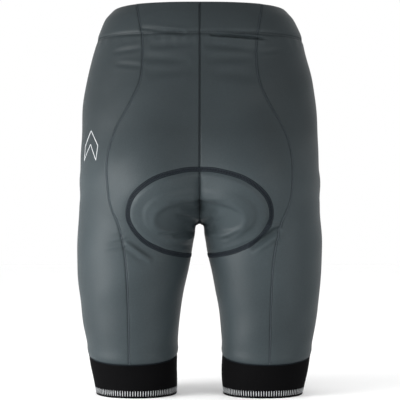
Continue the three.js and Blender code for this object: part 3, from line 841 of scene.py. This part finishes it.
def pad_grid(rows, columns):
    """Points on the body in rows from the pad's back edge, under the crotch, to its front edge."""
    along = np.linspace(-1, 1, rows)
    reach = np.abs(along)
    level = CROTCH_LEVEL + (PAD_TOP - 2 - CROTCH_LEVEL) * reach
    turn = -np.pi / 2 + (PAD_TOP_TURN + np.pi / 2) * reach
    low = smoothstep(-turn, -PAD_LOW_TURN, np.pi / 2)[:, None]
    rear = (along <= 0)[:, None]
    middle = np.where(rear, centre_line(level, 1), centre_line(level, -1))
    held = np.maximum(turn, PAD_LOW_TURN)
    edge = np.where(rear, outline_point(held, 1), outline_point(held, -1))
    edge = edge + (inner_thigh - edge) * low
    share = np.linspace(-1, 1, columns)[None, :, None]
    grid = middle[:, None] + (edge - middle)[:, None] * np.abs(share)
    grid[..., 0] *= np.sign(share[..., 0])
    return settle(grid)


def foam_height(rows, columns):
    """How thick the pad is: thin at its edge, thick under the sit bones, with a lower bridge between."""
    along, across = np.meshgrid(np.linspace(-1, 1, rows), np.linspace(-1, 1, columns), indexing="ij")
    from_edge = np.minimum(1 - np.abs(along), 1 - np.abs(across))
    base = 3.6 + 1.6 * smoothstep(from_edge, 0, 0.16)
    sit = bump(along + 0.5, 0.26) * bump(np.abs(across) - 0.5, 0.3)
    bridge = bump(along - 0.15, 0.36) * bump(across, 0.34)
    return base + 5.6 * smoothstep(sit, 0.12, 0.8) + 3.0 * smoothstep(bridge, 0.15, 0.8)


pad_points = pad_grid(PAD_ROWS, PAD_COLUMNS)
pad_way = fabric_way(pad_points)


def clear_of_cleft(p):
    """How much further in the pad lies where the fabric is drawn into the cleft."""
    return 4.0 * bump(p[..., 0], 12)


pad_fabric = relief(pad_points, pad_way) - clear_of_cleft(pad_points)


def sunk_pad(depth):
    return pad_points + pad_way * (pad_fabric - depth)[..., None]


def closed_slab(name, outer, inner):
    """A closed mesh between two grids with the same rows and columns."""
    rows, columns = outer.shape[:2]
    count = rows * columns
    faces = grid_faces(rows, columns)
    faces += [[v + count for v in face[::-1]] for face in grid_faces(rows, columns)]
    index = np.arange(count).reshape(rows, columns)
    rim = [*index[0], *index[1:, -1], *index[-1, -2::-1], *index[-2:0:-1, 0]]
    for here, after in zip(rim, rim[1:] + rim[:1]):
        faces.append([int(after), int(here), int(here) + count, int(after) + count])
    return add_mesh(name, np.concatenate([outer.reshape(-1, 3), inner.reshape(-1, 3)]), faces)


def apply_modifiers(piece):
    """The piece's mesh with its modifiers worked in."""
    shaped = bpy.data.meshes.new_from_object(piece.evaluated_get(bpy.context.evaluated_depsgraph_get()))
    piece.modifiers.clear()
    piece.data = shaped
    piece.data.shade_smooth()


def mesh_points(piece):
    found = np.zeros(len(piece.data.vertices) * 3)
    piece.data.vertices.foreach_get("co", found)
    return found.reshape(-1, 3)


def swell(piece):
    """Cloth with air pressure inside puffs the piece up a little."""
    remesh = piece.modifiers.new("remesh", "REMESH")
    remesh.mode = "VOXEL"
    remesh.voxel_size = VOXEL
    apply_modifiers(piece)
    before = mesh_points(piece)
    cloth = piece.modifiers.new("cloth", "CLOTH")
    cloth.settings.use_pressure = True
    cloth.settings.uniform_pressure_force = 4
    cloth.settings.effector_weights.gravity = 0
    scene = bpy.context.scene
    for number in range(1, 21):
        scene.frame_set(number)
    apply_modifiers(piece)
    scene.frame_set(1)
    moved = mesh_points(piece) - before
    size = np.linalg.norm(moved, axis=1, keepdims=True)
    held = before + moved * np.minimum(1, MOST_SWELL / np.maximum(size, 1e-9))
    piece.data.vertices.foreach_set("co", held.ravel())


def pad_channels(p):
    """The depth of the channels moulded into the skin side of the pad."""
    x, turn = np.abs(p[..., 0]), np.degrees(np.arctan2(p[..., 1], HIP_LEVEL - p[..., 2]))
    middle = 2.6 * bump(x, 3.0) * smoothstep(turn, -62, -48) * (1 - smoothstep(turn, 58, 74))
    beside_bridge = 1.8 * bump(x - 20, 2.6) * smoothstep(turn, -56, -40) * (1 - smoothstep(turn, 14, 26))
    round_lobe = np.hypot((x - 46) / 37, (turn - 50) / 32)
    lobe = 1.8 * bump((round_lobe - 1) * 34, 2.8)
    cross = 1.4 * bump(turn - 50, 3.2) * smoothstep(x, 14, 20) * (1 - smoothstep(x, 70, 78))
    return np.maximum.reduce([middle, beside_bridge, lobe, cross])


def finish_pad(piece):
    """Presses the channels into the skin side and keeps the pad under the fabric."""
    piece.modifiers.new("smooth", "SUBSURF").levels = 1
    apply_modifiers(piece)
    found = mesh_points(piece) * 1000
    normal = np.zeros(len(found) * 3)
    piece.data.vertices.foreach_get("normal", normal)
    way = unit(outward(found))
    skin_side = smoothstep(-(normal.reshape(-1, 3) * way).sum(-1), 0.2, 0.8)
    found += way * (pad_channels(found) * skin_side)[..., None]
    for _ in range(2):
        over = past_body(found) - (relief(found, way) - clear_of_cleft(found) - PAD_DEPTH)
        found -= way * np.maximum(over, 0)[..., None]
    piece.data.vertices.foreach_set("co", (found / 1000).ravel())
    piece.data.update()


PAD_BACKING = 0.7
made["pad_backing"] = closed_slab(
    "pad_backing_cloth", sunk_pad(PAD_BACKING_DEPTH), sunk_pad(PAD_BACKING_DEPTH + PAD_BACKING),
)
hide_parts("pad_backing")
made["pad_face_cover"] = closed_slab(
    "seat_pad", sunk_pad(PAD_DEPTH), sunk_pad(PAD_DEPTH + foam_height(PAD_ROWS, PAD_COLUMNS)),
)
swell(made["pad_face_cover"])
finish_pad(made["pad_face_cover"])
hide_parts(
    "pad_face_cover", "pad_base_foam", "pad_sit_foam_left", "pad_sit_foam_right",
    "pad_centre_foam",
)

# ---- Elastic inside the waistband ----
ELASTIC_DEPTH = 2.4
ELASTIC = 1.5
elastic_levels = levels_between(WAIST_LEVEL - 8, WAIST_LEVEL - BAND_HEIGHT + 6, 1.5)
elastic_loops = np.stack([waist_loop(level, 220) for level in elastic_levels])
elastic_way = unit(outward(elastic_loops, 0.0))
elastic_relief = relief(elastic_loops, unit(outward(elastic_loops)))
elastic_ribs = 0.12 * np.cos(np.arange(len(elastic_levels)) * np.pi)[:, None]
elastic_out = elastic_loops + elastic_way * (elastic_relief + elastic_ribs - ELASTIC_DEPTH)[..., None]
elastic_faces = grid_faces(len(elastic_levels), 220, closed=True)
made["waist_elastic"] = add_mesh("waist_elastic_band", elastic_out, elastic_faces)
thicken(made["waist_elastic"], ELASTIC)
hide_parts("waist_elastic")

# ---- Size patch inside the back of the waistband ----
patch_levels = levels_between(WAIST_LEVEL - 10, WAIST_LEVEL - 26, 1.0)
patch_across = np.linspace(-14, 14, 29)
patch_line = centre_line(patch_levels, 1)
patch = settle_at(
    points(patch_across[None, :], patch_line[:, None, 1], patch_line[:, None, 2]),
    np.broadcast_to(patch_levels[:, None], (len(patch_levels), len(patch_across))),
)
patch_way = unit(outward(patch, 0.0))
patch_in = patch + patch_way * (relief(patch, unit(outward(patch))) - FOLD_DEPTH - FABRIC - 0.25)[..., None]
made["size_patch"] = add_mesh("size_patch_cloth", patch_in, grid_faces(*patch_in.shape[:2]))
thicken(made["size_patch"], 0.4)
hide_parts("size_patch")

for piece in made.values():
    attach(piece, "shorts")

# ---- Care label, sewn in by its top edge ----
label_low, label_high = (np.array(corner) * 1000 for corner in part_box("care_label"))
LABEL_CURL = 1.6
LABEL_CLEAR = 1.8  # how far inside its CAD plate the cloth hangs, to stay off the uneven fabric
down, across = np.meshgrid(np.linspace(0, 1, 45), np.linspace(-1, 1, 31), indexing="ij")
label_curl = LABEL_CURL * down**2 * (1 - 0.4 * np.cos(across * 2.2))
label_y = (label_low[1] + label_high[1]) / 2 - LABEL_CLEAR - label_curl
label_points = points(
    across * label_high[0], label_y, label_high[2] + (label_low[2] - label_high[2]) * down,
)
label = add_mesh("care_label_cloth", label_points, grid_faces(45, 31))
thicken(label, 0.35)
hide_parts("care_label")
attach(label, "care_label")
stitch_x = np.arange(-13, 13, 2.2)
LABEL_STITCH_DROP = 2.0
LABEL_STITCH_LENGTH = 1.6
LABEL_THREAD_RADIUS = 0.16
stitch_start = points(stitch_x, label_low[1] - LABEL_CLEAR - 0.15, label_high[2] - LABEL_STITCH_DROP)
stitch_end = stitch_start + np.array([LABEL_STITCH_LENGTH, 0, 0])
label_threads = bars(stitch_start, stitch_end, points(0 * stitch_x, -1, 0), LABEL_THREAD_RADIUS)
label_stitches = join_parts("care_label_stitches", [label_threads])
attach(label_stitches, "care_label")


# ---- Materials ----
def node_tree(name):
    material = bpy.data.materials.new(name)
    material.use_nodes = True
    return material, material.node_tree.nodes, material.node_tree.links


WEAVE_STRENGTH = 0.25
WEAVE_HEIGHT = 0.00015  # in metres
PAINTED_SHADE_FROM, PAINTED_SHADE_TO = 0.28, 0.35  # heights in metres between which painted shade darkens the cloth's colour upwards


def cloth_material(
    name, colour, roughness=0.6, sheen=0.3, specular=0.25, coords="UV", ribs=(5.0, 7.0), mottle=0.12,
    grain=0.1, painted_top_shade=1.0,
):
    """Knit cloth: ribs and rows for the bump, with broad mottling and fine grain in its colour.

    The top shade argument scales the colour down at the top of the shorts, as painted shade.
    """
    material, nodes, links = node_tree(name)
    shader = nodes["Principled BSDF"]
    shader.inputs["Roughness"].default_value = roughness
    shader.inputs["Sheen Weight"].default_value = sheen
    shader.inputs["Sheen Roughness"].default_value = 0.45
    shader.inputs["Specular IOR Level"].default_value = specular
    where = nodes.new("ShaderNodeTexCoord").outputs[coords]
    place = nodes.new("ShaderNodeTexCoord").outputs["Object"]

    waves = []
    for direction, scale in zip(("X", "Y"), ribs):
        wave = nodes.new("ShaderNodeTexWave")
        wave.wave_type = "BANDS"
        wave.bands_direction = direction
        wave.inputs["Scale"].default_value = scale
        wave.inputs["Distortion"].default_value = 0.6
        links.new(where, wave.inputs["Vector"])
        waves.append(wave.outputs["Fac"])
    weave = nodes.new("ShaderNodeMath")
    weave.operation = "MULTIPLY"
    links.new(waves[0], weave.inputs[0])
    links.new(waves[1], weave.inputs[1])
    relief_node = nodes.new("ShaderNodeBump")
    relief_node.inputs["Strength"].default_value = WEAVE_STRENGTH
    relief_node.inputs["Distance"].default_value = WEAVE_HEIGHT
    links.new(weave.outputs[0], relief_node.inputs["Height"])
    links.new(relief_node.outputs["Normal"], shader.inputs["Normal"])

    # Painted shade: the colour darkens from the lower height to the upper one.
    height = nodes.new("ShaderNodeSeparateXYZ")
    links.new(place, height.inputs[0])
    painted_shade = nodes.new("ShaderNodeMapRange")
    painted_shade.inputs["From Min"].default_value = PAINTED_SHADE_FROM
    painted_shade.inputs["From Max"].default_value = PAINTED_SHADE_TO
    painted_shade.inputs["To Min"].default_value = 1
    painted_shade.inputs["To Max"].default_value = painted_top_shade
    links.new(height.outputs["Z"], painted_shade.inputs["Value"])
    base = painted_shade.outputs["Result"]
    for scale, amount in ((9.0, mottle), (700.0, grain)):
        noise = nodes.new("ShaderNodeTexNoise")
        noise.inputs["Scale"].default_value = scale
        noise.inputs["Detail"].default_value = 3
        links.new(place, noise.inputs["Vector"])
        tone = nodes.new("ShaderNodeMapRange")
        tone.inputs["From Min"].default_value = 0.3
        tone.inputs["From Max"].default_value = 0.7
        tone.inputs["To Min"].default_value = 1 - amount
        tone.inputs["To Max"].default_value = 1 + amount
        links.new(noise.outputs["Fac"], tone.inputs["Value"])
        both = nodes.new("ShaderNodeMath")
        both.operation = "MULTIPLY"
        links.new(base, both.inputs[0])
        links.new(tone.outputs["Result"], both.inputs[1])
        base = both.outputs[0]
    tint = nodes.new("ShaderNodeVectorMath")
    tint.operation = "SCALE"
    tint.inputs[0].default_value = colour
    links.new(base, tint.inputs["Scale"])
    links.new(tint.outputs[0], shader.inputs["Base Color"])
    return material


PAINTED_TOP_SHADE = 0.62  # painted shade: the share of the fabric's colour that is left at the top of the shorts
slate = cloth_material(
    "slate_knit", (0.0258, 0.0338, 0.0372), roughness=0.5, sheen=0.0, specular=0.12, painted_top_shade=PAINTED_TOP_SHADE,
)
thread = dict(sheen=0.0, specular=0.05, coords="Object", ribs=(900, 900))
slate_thread = cloth_material("slate_thread", (0.024, 0.03, 0.034), painted_top_shade=PAINTED_TOP_SHADE, **thread)
seam_thread = cloth_material("seam_thread", (0.046, 0.056, 0.063), painted_top_shade=PAINTED_TOP_SHADE, **thread)
dark_thread = cloth_material("dark_thread", (0.0055, 0.0075, 0.0095), **thread)
ring_thread = cloth_material("ring_thread", (0.021, 0.026, 0.032), **thread)
black_knit = cloth_material(
    "black_elastic_knit", (0.0022, 0.0022, 0.0024), roughness=0.8, sheen=0.0, specular=0.02,
)
white_elastic = cloth_material("white_elastic_knit", (0.65, 0.65, 0.62), coords="Object", ribs=(500, 500))
silver = cloth_material(
    "reflective_film", (0.36, 0.37, 0.38), roughness=0.5, coords="Object", ribs=(300, 300),
)
silicone = cloth_material("silicone", (0.02, 0.022, 0.025), roughness=0.35, specular=0.5, coords="Object")
pad_cloth = cloth_material(
    "pad_knit", (0.13, 0.15, 0.17), coords="Object", ribs=(300, 300), mottle=0.08,
)
backing_cloth = cloth_material("pad_backing_knit", (0.5, 0.51, 0.5), coords="Object", ribs=(400, 400))
label_cloth = cloth_material("label_cloth", (0.7, 0.7, 0.68), coords="Object", ribs=(900, 900))

# The first key found in a piece's name picks its row: its material, and a slot name that nothing uses.
FINISHES = (
    ("pad_flatlock_stitch_threads", ring_thread, "dark_thread"),
    ("pad_flatlock_stitch", dark_thread, "dark_thread"),
    ("panel", slate, "slate_fabric"),
    ("side_seam", seam_thread, "slate_thread"),
    ("rise_seam", slate_thread, "slate_thread"),
    ("inseam", slate_thread, "slate_thread"),
    ("waist_coverstitch", slate_thread, "slate_thread"),
    ("waist_elastic", white_elastic, "white_elastic"),
    ("leg_gripper", black_knit, "black_elastic"),
    ("gripper_", dark_thread, "dark_thread"),
    ("reflective_trim", silver, "reflective_print"),
    ("hip_mark", silver, "reflective_print"),
    ("silicone_print", silicone, "silicone"),
    ("pad_backing", backing_cloth, "pad_foam"),
    ("pad_face_cover", pad_cloth, "pad_cover_knit"),
    ("size_patch", label_cloth, "label_cloth"),
)
for name, piece in made.items():
    material, slot = next((material, slot) for key, material, slot in FINISHES if key in name)
    piece.data.materials.append(material)
for piece, material in ((label, label_cloth), (label_stitches, dark_thread)):
    piece.data.materials.append(material)

# ---- Camera, light and floor ----
camera_data = bpy.data.cameras.new("camera")
camera = bpy.data.objects.new("camera", camera_data)
camera.location = (-0.0005, 2.0, 0.2606)
camera.rotation_euler = (math.radians(90), 0, math.radians(180))
camera_data.sensor_width = 36
camera_data.lens = 36 * 2.0 / 0.54
bpy.context.scene.collection.objects.link(camera)
bpy.context.scene.camera = camera

floor_mesh = bpy.data.meshes.new("floor")
floor_mesh.from_pydata([(-4, -4, 0), (4, -4, 0), (4, 4, 0), (-4, 4, 0)], [], [(0, 1, 2, 3)])
floor = bpy.data.objects.new("floor", floor_mesh)
bpy.context.scene.collection.objects.link(floor)
floor_paper = cloth_material(
    "floor_paper", (0.98, 0.98, 0.98), coords="Object", mottle=0.01, grain=0.01,
)
floor_mesh.materials.append(floor_paper)

world = bpy.data.worlds.new("studio")
world.use_nodes = True
world.node_tree.nodes["Background"].inputs["Color"].default_value = (1, 1, 1, 1)
world.node_tree.nodes["Background"].inputs["Strength"].default_value = 1.0
bpy.context.scene.world = world
bpy.context.scene.view_settings.view_transform = "Standard"


def area_light(name, at, towards, size, power):
    data = bpy.data.lights.new(name, "AREA")
    data.shape = "DISK"
    data.size = size
    data.energy = power
    light = bpy.data.objects.new(name, data)
    light.location = at
    light.rotation_euler = (Vector(towards) - Vector(at)).to_track_quat("-Z", "Y").to_euler()
    bpy.context.scene.collection.objects.link(light)


area_light("key", (1.1, 0.48, 0.06), (0, 0, 0.2), 0.6, 24)
area_light("front", (0.8, 0.68, 0.0), (0, 0, 0.2), 0.4, 15)
area_light("fill", (-1.2, 1.4, 0.1), (0, 0, 0.25), 1.0, 18)
